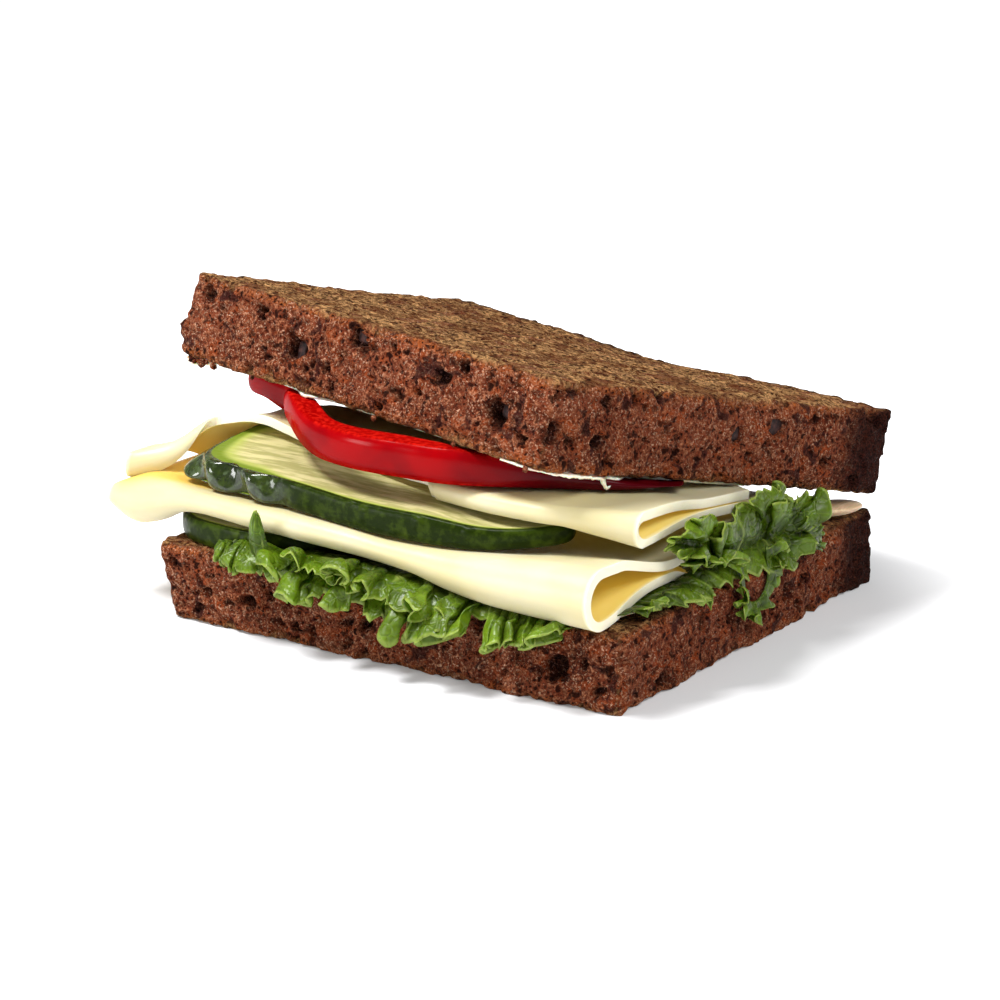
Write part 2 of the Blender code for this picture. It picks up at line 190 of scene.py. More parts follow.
def bubbles(points, size, seed):
    """Distance to the nearest random bubble centre, in sizes, and a random number for that bubble."""
    table = np.random.default_rng(seed).uniform(0, 1, (16, 16, 16, 4))
    p = points / size
    cell = np.floor(p).astype(int)
    best = np.full(len(points), 9.0)
    kind = np.zeros(len(points))
    for dx in (-1, 0, 1):
        for dy in (-1, 0, 1):
            for dz in (-1, 0, 1):
                there = cell + (dx, dy, dz)
                draw = table[there[:, 0] % 16, there[:, 1] % 16, there[:, 2] % 16]
                away = np.linalg.norm(there + draw[:, :3] - p, axis=1)
                kind = np.where(away < best, draw[:, 3], kind)
                best = np.minimum(best, away)
    return best, kind


def wander(place):
    """A smooth random push for a place."""
    steps = ((0, 0, 0), (9.3, 1.7, 4.1), (3.9, 7.7, 6.3))
    return Vector([noise.noise(place + Vector(step)) for step in steps])


def piece(name, bm, finish, replaces=(), smooth=True, recalc=True):
    """Turn a bmesh in millimetres into a finished piece in metres that rides with the sandwich."""
    if recalc:
        bmesh.ops.recalc_face_normals(bm, faces=bm.faces)
    bmesh.ops.scale(bm, vec=(MM, MM, MM), verts=bm.verts)
    mesh = bpy.data.meshes.new(name)
    bm.to_mesh(mesh)
    bm.free()
    mesh.materials.append(finish)
    made = bpy.data.objects.new(name, mesh)
    bpy.context.scene.collection.objects.link(made)
    if smooth:
        mesh.shade_smooth()
    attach(made, "root")
    if replaces:
        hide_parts(*replaces)
    return made


def thicken(made, thick):
    """Give a sheet its thickness, half of it to each side."""
    body = made.modifiers.new("thickness", "SOLIDIFY")
    body.thickness = thick * MM
    body.offset = 0.0
    return body


def mark(bm, name):
    """A number kept on every corner of the mesh for its finish to read."""
    return bm.verts.layers.float.get(name) or bm.verts.layers.float.new(name)


# ---------------------------------------------------------------- finishes

class Wire:
    """A number flowing through a finish: sums written with it become Math nodes."""

    def __init__(self, finish, socket):
        self.finish = finish
        self.socket = socket

    def math(self, operation, *others, swap=False):
        values = [self, *others]
        if swap:
            values.reverse()
        return self.finish.add("ShaderNodeMath", {"operation": operation}, dict(enumerate(values)))

    def __add__(self, other):
        return self.math("ADD", other)

    def __rsub__(self, other):
        return self.math("SUBTRACT", other, swap=True)

    def __mul__(self, other):
        return self.math("MULTIPLY", other)

    def over(self, other):
        return self.math("MAXIMUM", other)

    def step(self, low, high):
        """0 below low, 1 above high and smooth between; falls instead when low is above high."""
        ends = {"From Min": min(low, high), "From Max": max(low, high)}
        ends["To Min"], ends["To Max"] = (0.0, 1.0) if low < high else (1.0, 0.0)
        smooth = {"interpolation_type": "SMOOTHSTEP"}
        return self.finish.add("ShaderNodeMapRange", smooth, {"Value": self, **ends})

    __radd__ = __add__
    __rmul__ = __mul__


class Finish:
    """A procedural finish around one Principled shader, measured in millimetres."""

    def __init__(self, name, **shader):
        self.material = bpy.data.materials.new(name)
        self.material.use_nodes = True
        self.tree = self.material.node_tree
        self.tree.nodes.clear()
        self.shader = self.tree.nodes.new("ShaderNodeBsdfPrincipled")
        out = self.tree.nodes.new("ShaderNodeOutputMaterial")
        self.tree.links.new(self.shader.outputs[0], out.inputs["Surface"])
        for socket, value in shader.items():
            self.shader.inputs[socket.replace("_", " ")].default_value = value
        where = self.tree.nodes.new("ShaderNodeTexCoord").outputs["Object"]
        self.where = self.add("ShaderNodeVectorMath", {"operation": "SCALE"}, {0: where, "Scale": 1000.0})

    def add(self, kind, settings, sockets, out=0):
        node = self.tree.nodes.new(kind)
        for key, value in settings.items():
            setattr(node, key, value)
        for key, value in sockets.items():
            self.join(node.inputs[key], value)
        return Wire(self, node.outputs[out])

    def join(self, socket, value):
        if isinstance(value, Wire):
            value = value.socket
        if isinstance(value, bpy.types.NodeSocket):
            self.tree.links.new(value, socket)
        elif isinstance(value, tuple) and len(value) == 3 and socket.type == "RGBA":
            socket.default_value = (*value, 1.0)
        else:
            socket.default_value = value

    def read(self, name):
        """A number stored on the piece's own corners."""
        return self.add("ShaderNodeAttribute", {"attribute_name": name}, {}, out="Fac")

    def stretched(self, x, y, z, turn=0.0):
        return self.add("ShaderNodeMapping", {}, {"Vector": self.where, "Scale": (x, y, z),
                                                  "Rotation": (0.0, 0.0, math.radians(turn))})

    def noise(self, size, detail=2.0, roughness=0.5, where=None, bend=0.0):
        return self.add("ShaderNodeTexNoise", {}, {
            "Vector": where or self.where, "Scale": 1.0 / size, "Detail": detail,
            "Roughness": roughness, "Distortion": bend})

    def cells(self, size, where=None, feature="F1"):
        return self.add("ShaderNodeTexVoronoi", {"feature": feature}, {
            "Vector": where or self.where, "Scale": 1.0 / size}, out="Distance")

    def shifted(self, size, amount):
        """Places pushed about by a noise, so that round patterns turn ragged."""
        cloud = self.tree.nodes.new("ShaderNodeTexNoise")
        self.join(cloud.inputs["Vector"], self.where)
        cloud.inputs["Scale"].default_value = 1.0 / size
        push = self.add("ShaderNodeVectorMath", {"operation": "MULTIPLY_ADD"}, {
            0: cloud.outputs["Color"], 1: (amount, amount, amount), 2: self.where})
        return push

    def blend(self, factor, one, two):
        """Colour one where factor is 0 and colour two where it is 1."""
        return self.add("ShaderNodeMix", {"data_type": "RGBA"}, {0: factor, 6: one, 7: two}, out=2)

    def relief(self, height, depth, strength=1.0):
        """Surface relief: height from 0 to 1 stands for depth in millimetres."""
        bump = self.add("ShaderNodeBump", {}, {
            "Height": height, "Distance": depth * MM, "Strength": strength}, out="Normal")
        self.join(self.shader.inputs["Normal"], bump)

    def paint(self, **sockets):
        for key, value in sockets.items():
            self.join(self.shader.inputs[key.replace("_", " ")], value)
        return self.material


def tone(red, green, blue):
    """A screen colour from 0 to 255 as the linear colour that the shaders use."""
    return tuple((c / 12.92 if c <= 0.04045 else ((c + 0.055) / 1.055) ** 2.4)
                 for c in (red / 255, green / 255, blue / 255))


def rye_crumb():
    """Dark malted rye: porous crumb on the sides, with painted shade in its pores and hollows and painted
    highlights on its ridges, toasted grain on the faces, darker crust.
    """
    f = Finish("rye_crumb", Specular_IOR_Level=0.06)
    face, crust, dense, hollow, rim = [f.read(key) for key in ("face", "crust", "dense", "hollow", "rim")]
    ragged = f.shifted(0.8, 1.1)
    web = f.cells(1.15, ragged)
    open_web = f.cells(2.4, f.shifted(1.7, 2.4))
    grain = f.noise(0.45, 4.0, 0.65)
    patch = f.noise(4.6, 3.0, 0.6)
    # pore marks the crumb's pits, which are painted near black below as painted shade
    pore = web.step(0.36, 0.16).over(open_web.step(0.36, 0.20)).over(grain.step(0.42, 0.34) * 0.7)
    pore = pore * (0.55 + patch.step(0.40, 0.56) * 0.45)
    # ridge and glint mark where painted highlights go: lit ridges between the pits and bright glints
    ridge = web.step(0.42, 0.72) * grain.step(0.42, 0.58)
    glint = f.noise(0.5, 3.0, 0.65).step(0.55, 0.65) * patch.step(0.66, 0.46)
    malt = f.noise(5.4, 3.0, 0.6, bend=1.0).step(0.57, 0.64)
    warm = f.noise(3.6, 2.0, 0.6).step(0.50, 0.64)

    base = f.blend(f.noise(13.0, 2.0).step(0.35, 0.65), tone(120, 54, 32), tone(144, 72, 46))
    base = f.blend(warm * 0.65, base, tone(178, 80, 36))
    base = f.blend(rim * grain.step(0.38, 0.58) * 0.8, base, tone(206, 116, 58))
    # painted highlight: paler colour on the lit ridges and bright glints, fewer where the crumb is dense
    base = f.blend(ridge * (0.9 - dense * 0.2), base, tone(208, 132, 94))
    base = f.blend(glint * (0.95 - dense * 0.25), base, tone(240, 190, 156))
    base = f.blend(malt * 0.8, base, tone(58, 26, 26))
    # painted shade: the pits darkened to near black for the shade that falls into them
    base = f.blend(pore * 0.95, base, tone(40, 9, 2))
    # painted shade: the big broken bubbles darkened, with painted highlight specks where the glints fall
    base = f.blend(hollow * 0.9, base, f.blend(glint, tone(28, 10, 8), tone(120, 78, 74)))

    streak = f.noise(1.5, 5.0, 0.8, f.stretched(0.7, 1.0, 1.0, 18.0), 1.2)
    toast = f.blend(streak.step(0.40, 0.60), tone(76, 31, 10), tone(250, 190, 124))
    toast = f.blend(f.noise(9.0, 4.0, 0.65, bend=1.0).step(0.46, 0.60) * 0.7, toast, tone(112, 52, 24))
    # painted shade: the pits of the toasted faces darkened
    toast = f.blend(f.cells(1.7, f.shifted(1.2, 1.0)).step(0.40, 0.16) * 0.9, toast, tone(44, 16, 6))
    base = f.blend(face, base, toast)
    base = f.blend(crust * 0.95, base, f.blend(grain.step(0.38, 0.62), tone(22, 8, 7), tone(66, 28, 22)))

    f.relief((1 - pore) * 0.7 + ridge * 0.4 + grain * 0.7, 2.6, 1.0)
    return f.paint(Base_Color=base, Roughness=0.9 - glint * 0.45)


def cheese_finish(name, shade, glow):
    """Pale sliced cheese: smooth, waxy and slightly translucent; glow is the light held in its folds."""
    f = Finish(name, Roughness=0.38, IOR=1.45, Emission_Color=(*tone(214, 186, 76), 1.0),
               Emission_Strength=glow, Subsurface_Weight=0.35, Subsurface_Radius=(1.0, 0.75, 0.35),
               Subsurface_Scale=0.003)
    cloud = f.noise(22.0, 2.0)
    cut = f.read("cut")
    base = f.blend(cloud.step(0.3, 0.7), tone(*shade), tone(shade[0] - 5, shade[1] - 8, shade[2] - 20))
    # painted light: the yellow of light held under the upper cheese, laid on where the lower slice lies
    # beneath it
    base = f.blend(f.read("painted_fold_glow") * 0.9, base, tone(226, 186, 74))
    base = f.blend(cut * 0.7, base, tone(242, 236, 212))
    fine = f.noise(0.8, 3.0, 0.6)
    f.relief(fine * (cut * 0.8 + 0.12) + f.noise(7.0, 1.0) * 0.5, 0.25, 0.5)
    return f.paint(Base_Color=base, Roughness=0.34 + cut * 0.25 + cloud * 0.1)


def cucumber_finish():
    """Cucumber: pale streaky flesh that turns green towards a dark glossy skin."""
    f = Finish("cucumber_flesh_and_skin", IOR=1.4, Specular_IOR_Level=0.08, Coat_Roughness=0.1,
               Subsurface_Weight=0.12, Subsurface_Radius=(0.6, 0.9, 0.3), Subsurface_Scale=0.002)
    rind = f.read("rind")
    end = f.read("end")
    streak = f.noise(1.2, 3.0, 0.6, f.stretched(0.12, 1.0, 1.0, 6.0))
    flesh = f.blend(streak.step(0.4, 0.62), tone(150, 146, 92), tone(186, 178, 128))
    near = rind * (1 - end * 0.72)
    flesh = f.blend(near.step(1.7, 0.8) * 0.85, flesh, tone(150, 160, 72))
    flesh = f.blend(near.step(1.0, 0.5) * 0.9, flesh, tone(92, 112, 24))
    mottle = f.noise(2.4, 3.0, 0.6)
    bands = f.noise(3.4, 1.0, 0.5, f.stretched(1.0, 0.5, 0.3, 0.0))
    skin = f.blend(mottle.step(0.42, 0.66), tone(24, 36, 2), tone(44, 58, 8))
    skin = f.blend(bands.step(0.66, 0.80) * 0.4, skin, tone(86, 104, 26))
    skin = f.blend(end * f.noise(1.6, 2.0).step(0.5, 0.66) * 0.5, skin, tone(88, 104, 72))
    base = f.blend(rind.step(0.75, 0.45), flesh, skin)
    wart = f.cells(4.2).step(0.42, 0.1) * 0.5
    pimple = f.cells(0.9).step(0.4, 0.1) * end
    on_skin = rind.step(0.75, 0.45)
    f.relief((wart + pimple * 0.5) * on_skin + streak * (1 - on_skin) * 0.35 + mottle * 0.3, 0.5, 0.8)
    return f.paint(Base_Color=base, Roughness=0.42 - on_skin * 0.1, Coat_Weight=on_skin * end)


def pepper_finish():
    """Red pepper: deep glossy skin, wet orange-red cut faces and a paler inner wall, with painted shadow
    darkening its right part.
    """
    f = Finish("red_pepper", IOR=1.45, Specular_IOR_Level=0.0, Coat_Roughness=0.18,
               Subsurface_Weight=0.08, Subsurface_Radius=(1.2, 0.2, 0.1), Subsurface_Scale=0.002)
    skin, shade = f.read("skin"), f.read("shade")
    wet = f.noise(1.1, 3.0, 0.6)
    # the wet orange-red flesh of the cut faces, its colours kept dark partly as painted shade for the bread's
    # shadow over the ring
    cut = f.blend(wet.step(0.4, 0.65), tone(132, 2, 2), tone(172, 20, 12))
    base = f.blend(skin, cut, f.blend(f.noise(9.0, 2.0).step(0.3, 0.7), tone(146, 0, 4), tone(122, 0, 6)))
    # painted shadow: the ring's right part, under the overhang of the top slice, darkened to a deep
    # purple-red
    base = f.blend(shade * 0.9, base, tone(58, 2, 10))
    f.relief(wet * (1 - skin) * 0.8 + f.noise(6.0, 2.0) * skin * 0.5, 0.4, 0.5)
    return f.paint(Base_Color=base, Roughness=0.36 - skin * 0.06, Coat_Weight=skin * 0.16)


def leaf_finish(name, deep, bright):
    """Frilly lettuce: fresh green, darkened towards its root by painted shade, with pale veins and margins.
    """
    f = Finish(name, Roughness=0.34, Specular_IOR_Level=0.24, Subsurface_Weight=0.15,
               Subsurface_Radius=(0.3, 0.8, 0.1), Subsurface_Scale=0.0015)
    tip = f.read("tip")
    vein = f.read("vein")
    blotch = f.noise(3.6, 3.0, 0.6)
    net = f.cells(2.6, f.shifted(1.6, 1.4), "DISTANCE_TO_EDGE")
    base = f.blend(blotch.step(0.35, 0.65), tone(*deep), tone(*bright))
    # painted shade: darker towards the leaf's root, where it lies in under the bread and cheese
    base = f.blend(tip.step(0.75, 0.3) * 0.6, base, tone(38, 52, 2))
    base = f.blend(net.step(0.05, 0.0) * 0.2, base, tone(134, 158, 54))
    base = f.blend(tip.step(0.5, 0.9) * 0.3, base, tone(112, 136, 28))
    base = f.blend(tip.step(0.95, 0.99) * 0.45, base, tone(164, 178, 84))
    base = f.blend(vein * 0.45, base, tone(164, 180, 86))
    f.relief(net.step(0.0, 0.2) * 0.4 + blotch * 0.6, 0.5, 0.7)
    return f.paint(Base_Color=base)


def rib_finish(name, shade):
    """The pale, fibrous and slightly glassy rib of a lettuce leaf."""
    f = Finish(name, Roughness=0.4, Subsurface_Weight=0.25, Subsurface_Scale=0.002)
    fibre = f.noise(0.8, 3.0, 0.6, f.stretched(1.0, 0.18, 1.0, -20.0))
    base = f.blend(fibre.step(0.35, 0.65), tone(*shade), tone(shade[0] - 30, shade[1] - 34, shade[2] - 40))
    f.relief(fibre, 0.2, 0.6)
    return f.paint(Base_Color=base)


def butter_finish():
    """Soft pale butter."""
    f = Finish("soft_butter", Roughness=0.3, Subsurface_Weight=0.4, Subsurface_Scale=0.002)
    cloud = f.noise(2.0, 3.0)
    f.relief(cloud, 0.3, 0.6)
    return f.paint(Base_Color=f.blend(cloud.step(0.4, 0.7), tone(248, 238, 220), tone(240, 220, 190)))


# ---------------------------------------------------------------- bread

def slice_grid(cuts):
    """A cube cut into an even grid, one run of cuts along each axis."""
    bm = bmesh.new()
    bmesh.ops.create_cube(bm, size=2.0)
    for axis in range(3):
        run = [e for e in bm.edges if abs(e.verts[0].co[axis] - e.verts[1].co[axis]) > 1.0]
        bmesh.ops.subdivide_edges(bm, edges=run, cuts=cuts[axis])
    return bm


def rye_slice(name, corners, thick, place, seed, slot, finish, worn, hollows):
    """A slice of porous rye. worn(x, y, z) moves its plain shape before the crumb is laid on;
    hollows are the big broken bubbles: their place and radius."""
    bm = slice_grid(SLICE_CUTS)
    for key in ("face", "crust", "dense", "hollow", "rim"):
        mark(bm, key)
    made = piece(name, bm, finish, (slot,), recalc=False)
    mesh = made.data
    count = len(mesh.vertices)
    unit = np.zeros(count * 3)
    mesh.vertices.foreach_get("co", unit)
    unit = unit.reshape(-1, 3) / MM

    box = unit * HALF
    flat = box[:, :2]
    inner = np.clip(flat, CORNER_ROUND - HALF[:2], HALF[:2] - CORNER_ROUND)
    away = flat - inner
    length = np.maximum(np.linalg.norm(away, axis=1), 1e-6)
    keep = np.minimum(1.0, CORNER_ROUND / length)
    box[:, :2] = inner + away * keep[:, None]
    inner = np.clip(box, RIM_ROUND - HALF, HALF - RIM_ROUND)
    away = box - inner
    length = np.maximum(np.linalg.norm(away, axis=1), 1e-6)
    out = away / length[:, None]
    edge = np.minimum(length, RIM_ROUND)[:, None]
    box = inner + out * np.where(length[:, None] > 1e-5, edge, 0.0)

    a = (box[:, 0] / HALF[0] + 1) / 2
    b = (box[:, 1] / HALF[1] + 1) / 2
    c = (box[:, 2] / HALF[2] + 1) / 2
    low_left, low_right, high_right, high_left = [np.array(p) for p in corners]
    plan = ((1 - a) * (1 - b))[:, None] * low_left + (a * (1 - b))[:, None] * low_right
    plan = plan + (a * b)[:, None] * high_right + ((1 - a) * b)[:, None] * high_left
    x, y, z = worn(plan[:, 0], plan[:, 1], c * thick)
    spot = np.stack((x, y, z), axis=1)

    side = ease(0.35, 0.9, np.maximum(abs(out[:, 0]), abs(out[:, 1])))
    face = 1 - side
    rim = ease(0.5, 0.95, abs(unit[:, 2])) * side
    ripple = 0.5 + lumps(spot, 16.0, seed) * 0.6 + lumps(spot, 6.0, seed + 1) * 0.5
    crumb = lumps(spot, 2.1, seed + 2) * 0.42 + lumps(spot, 1.15, seed + 3) * 0.4
    near, kind = bubbles(spot + crumb[:, None] * 1.5, 4.6, seed + 4)
    pit = ease(0.36, 0.14, near) * (kind > 0.5) * (0.6 + 1.4 * kind)
    for x0, y0, z0, radius in hollows:
        far = np.linalg.norm(spot + crumb[:, None] * 1.3 - (x0, y0, z0), axis=1) / radius
        pit = np.maximum(pit, ease(1.15, 0.6, far) * radius * 1.3)
    tiny, odd = bubbles(spot, 1.9, seed + 5)
    pock = ease(0.42, 0.15, tiny) * 0.6 * (odd > 0.3)
    broken = lumps(spot, 4.2, seed + 6)
    chip = rim * np.clip(broken - 0.15, 0, 1) * 1.8
    move = side * (ripple + crumb - pit - pock - chip) + face * (0.3 * ripple + 0.7 * crumb - 0.6 * pock)
    spot = spot + out * move[:, None]
    spot[:, 2] += np.where(rim > 0.3, -np.sign(unit[:, 2]) * chip * 0.7, 0.0)

    right = ease(0.4, 0.9, out[:, 0])
    back = ease(0.4, 0.9, out[:, 1])
    corner = ease(34, 52, x) * ease(30, 40, y)
    fill = {
        "face": face * (1 - 0.55 * ease(0.15, 0.6, lumps(spot, 3.0, seed + 7))),
        "crust": np.clip(0.97 * corner * side + 0.85 * back + 0.9 * ease(0.93, 1.0, b), 0, 1),
        "dense": np.clip(0.7 * right + back, 0, 1),
        # hollow marks the big broken bubbles, which the crumb finish fills with painted shade
        "hollow": side * ease(0.5, 1.7, pit) * 0.9,
        "rim": side * ease(0.72, 0.97, abs(unit[:, 2])),
    }
    for key, values in fill.items():
        mesh.attributes[key].data.foreach_set("value", values.astype(np.float32))
    turned = np.array(place.to_3x3()) @ spot.T
    spot = turned.T + np.array(place.translation)
    spot[:, 2] = np.maximum(spot[:, 2], 0.0)
    mesh.vertices.foreach_set("co", (spot * MM).astype(np.float32).ravel())
    mesh.update()
    return made


def worn_bottom(x, y, z):
    """The bottom slice's left side is hollowed under its upper edge and its foot spreads a little."""
    left = ease(-44, -54, x)
    low = ease(5.0, 0.0, z)
    x = x + left * (1.6 * low - 1.4 * ease(9, 15, z))
    return x, y - 0.5 * low * ease(-44, -50, y), z


def worn_top(x, y, z):
    """The top slice dips at the middle of its back, and its left front corner bulges low down."""
    rise = 0.5 * ease(-10, 40, y)
    sag = 1.9 * np.exp(-((x + 2) / 26) ** 2) * ease(0, 34, y)
    bulge = 2.4 * np.exp(-((z - 5.4) / 2.8) ** 2) * ease(-46, -54.5, x) * ease(-38, -50, y)
    return x - bulge, y, z + (rise - sag) * ease(4.0, TOP_THICK, z)


# ---------------------------------------------------------------- cheese

def strip(v, tuck, over, half):
    """Place of a strip point: layer side, distance behind the nose and how far out of the nose."""
    turn = math.pi * half
    begin = half - tuck if tuck >= half else turn * (1 - tuck / half)
    end = turn + over - half
    first = max(0.0, begin + 1.2)
    second = max(turn, first + 1.2)
    s = float(np.interp(v, (0.0, 0.3, 0.6, 1.0), (begin, first, second, end)))
    if s < 0:
        return -1, half - s, 1.0
    if s > turn:
        return 1, half + s - turn, 1.0
    angle = s / half - math.pi / 2
    return (1 if angle > 0 else -1), half * (1 - math.cos(angle)), abs(math.sin(angle))


def cheese_low(u, v):
    """Lower cheese: under layer, fold and over layer of one slice."""
    x = LOW_LEFT + (LOW_RIGHT - LOW_LEFT) * u
    over = along(LOW_OVER, x) - CHEESE_THICK / 2
    under = along(LOW_UNDER, x) + CHEESE_THICK / 2
    nose = along(LOW_FRONT, x) + CHEESE_THICK / 2
    shut = max(math.sqrt(max(1 - (min(x + 66, 0) / 6.4) ** 2, 0)), 0.25)
    over, under = [0.5 * (over + under) + shut * (level - 0.5 * (over + under)) for level in (over, under)]
    half = (over - under) / 2
    side, depth, spread = strip(v, along(LOW_TUCK, x), along(LOW_BACK, x) - nose, half)
    y = nose + depth
    level = surface(LOW_TOP, x, y) - CHEESE_THICK / 2
    level = min(level, over) if x < -60 else level
    if side > 0:
        near = ease(0.0, 7.0, depth - half)
        z = over * (1 - near) + level * near
    else:
        near = ease(0.0, along(LOW_PINCH, x), depth - half)
        z = under * (1 - near) + (level - CHEESE_THICK - LAYER_GAP) * near
        droop = 2.6 * ease(28, 50, x) * ease(-27, -18, y)
        z = z if y < -44 else max(z - droop, 17.1 + CHEESE_THICK / 2)
    middle = (over + under) / 2
    return x, y, middle + (z - middle) * spread


def cheese_up(u, v):
    """Upper cheese: one layer over the cucumber at the left, folded double at the right."""
    x = UP_LEFT + (UP_RIGHT - UP_LEFT) * u
    front = along(UP_FRONT, x)
    over = along(UP_OVER, x) - CHEESE_THICK / 2
    half = max((over - along(UP_UNDER, x) - CHEESE_THICK / 2) / 2, 1.1 + 1.2 * ease(-56, -66, x))
    shut = max(math.sqrt(max(1 - (min(x + 66.5, 0) / 4.9) ** 2, 0)), 0.3)
    over, half = over - half * (1 - shut), half * shut
    nose = front + CHEESE_THICK / 2
    side, depth, spread = strip(v, along(UP_TUCK, x), along(UP_BACK, x) - nose, half)
    y = nose + depth
    rows = dict(UP_TOP)
    rows[front] = UP_OVER
    level = surface(rows, x, y) - CHEESE_THICK / 2
    dip = ease(-34, -22, y) * (7.0 * ease(-46, -60, x) - 5.0 * ease(-60, -68, x))
    level = max(level - dip, min(level, surface(LOW_TOP, x, y) + LAYER_GAP + CHEESE_THICK / 2))
    if side > 0:
        z = level
    else:
        near = ease(0.0, 8.0 + 30.0 * ease(24, 50, x), depth - half)
        z = (over - 2 * half) * (1 - near) + (level - CHEESE_THICK - LAYER_GAP) * near
    middle = over - half
    lift = 0.7 * ease(-60, -68, x)
    return x, y, middle + (z - middle) * spread + lift


def under_bridge(x, y, z):
    """Where the lower cheese lies deep under the upper one at the left, in its yellow half-light."""
    return ease(-44, -50, x) * ease(-72, -69, x) * ease(-46.5, -42.5, y) * ease(-8, -20, y)


def cheese_slice(name, cells, place, painted_fold_glow_at, outer, inner, slot):
    """A folded cheese slice with softened cut edges, its hidden side in a finish of its own."""
    bm = bmesh.new()
    bmesh.ops.create_grid(bm, x_segments=cells[0], y_segments=cells[1], size=0.5)
    cut, painted_fold_glow = mark(bm, "cut"), mark(bm, "painted_fold_glow")
    for vert in bm.verts:
        u, v = vert.co.x + 0.5, vert.co.y + 0.5
        vert[cut] = 1.0 if vert.is_boundary else 0.0
        vert.co = Vector(place(u, v))
        # how much painted fold light each corner gets
        vert[painted_fold_glow] = painted_fold_glow_at(*vert.co)
    front = min(bm.faces, key=lambda f: f.calc_center_median().y)
    bmesh.ops.recalc_face_normals(bm, faces=bm.faces)
    if front.normal.y > 0:
        bmesh.ops.reverse_faces(bm, faces=bm.faces)
    made = piece(name, bm, outer, (slot,), recalc=False)
    made.data.materials.append(inner)
    body = thicken(made, CHEESE_THICK)
    body.material_offset = 1
    body.material_offset_rim = 0
    soft = made.modifiers.new("softened edge", "BEVEL")
    soft.width = 0.55 * MM
    soft.segments = 3
    soft.limit_method = "ANGLE"
    soft.angle_limit = math.radians(55)
    return made


# ---------------------------------------------------------------- cucumber

def bed_up(x, y):
    """Underside of the upper cucumber slice, leaning to the front more at its left end."""
    lean = 0.14 - 0.08 * ease(-12, 26, x)
    return 25.35 + 0.8 * ease(-5, -28, x) + 1.6 * ease(16, 36, x) + lean * (y + 50)


def bed_low(x, y):
    """Underside of the lower cucumber slice, flat on the bread."""
    return BOTTOM_THICK + 0.5


def cucumber_slice(name, half, centre, yaw, thick, bend, square, blunt, dents, finish):
    """A cucumber slice: flat cut faces with a soft rim and a bumpy skin. square fills out its left end."""
    bm = bmesh.new()
    bmesh.ops.create_uvsphere(bm, u_segments=260, v_segments=76, radius=1.0)
    rind, end = mark(bm, "rind"), mark(bm, "end")
    spin = Matrix.Rotation(math.radians(yaw), 3, "Z")
    for vert in bm.verts:
        t = math.acos(max(-1.0, min(1.0, vert.co.z))) / math.pi
        around = math.atan2(vert.co.y, vert.co.x) if abs(vert.co.z) < 0.9999 else 0.0
        cos, sin = math.cos(around), math.sin(around)
        power = 2.0 + square * ease(0.0, 0.6, -cos)
        reach = (abs(cos) ** power + abs(sin) ** power) ** (-1 / power)
        flat = min(t, 1 - t)
        ring = min(flat / CUKE_FACE, 1.0)
        wall = max(0.0, (flat - CUKE_FACE) / CUKE_WALL)
        height = math.copysign(1.0 if wall == 0 else (1 - wall ** 1.6) ** 0.45 if wall < 1 else 0.0, 0.5 - t)
        slope = math.sqrt((cos / half[0]) ** 2 + (sin / half[1]) ** 2) / reach
        trim = 0.55 if wall == 0 else 0.55 * (1 - wall ** 0.5) - 0.35 * wall
        grow = max(ring - trim * slope * ring, 0.0)
        vert[rind] = (1 - ring) / slope if wall == 0 else 0.0
        x, y = half[0] * reach * cos * grow, half[1] * reach * sin * grow
        x = x if x > 0 else x * (1 - blunt * (0.5 + 0.5 * height))
        vert[end] = ease(-half[0] * 0.2, -half[0] * 0.5, x) if dents else 0.0
        ripple = math.sin(0.52 * x + 0.9 * height) + 0.2 * math.sin(1.1 * x + 1.0 - height)
        dent = dents * vert[end] * ripple * (1 if wall > 0 else 0)
        x, y = x * (1 + dent * 0.010), y * (1 + dent * 0.06)
        tall = thick * (1 - 0.3 * ease(0.4, 0.9, x / half[0]))
        z = tall * (0.5 + 0.5 * height)
        if wall == 0:
            z += math.copysign(0.18, height) * (0.6 - ring * ring)
        place = spin @ Vector((x, y, 0.0))
        x, y = place.x + centre[0], place.y + centre[1]
        vert.co = Vector((x, y, z + bend(x, y)))
    return piece(name, bm, finish, (name.replace("_slice", ""),))


# ---------------------------------------------------------------- pepper

def ring_foot(x, y):
    """Underside of the pepper ring, resting on the upper cheese."""
    return along(RING_REST, y) + 2.2 * ease(-18, -38, x) + 2.4 * ease(-38, -52, x)


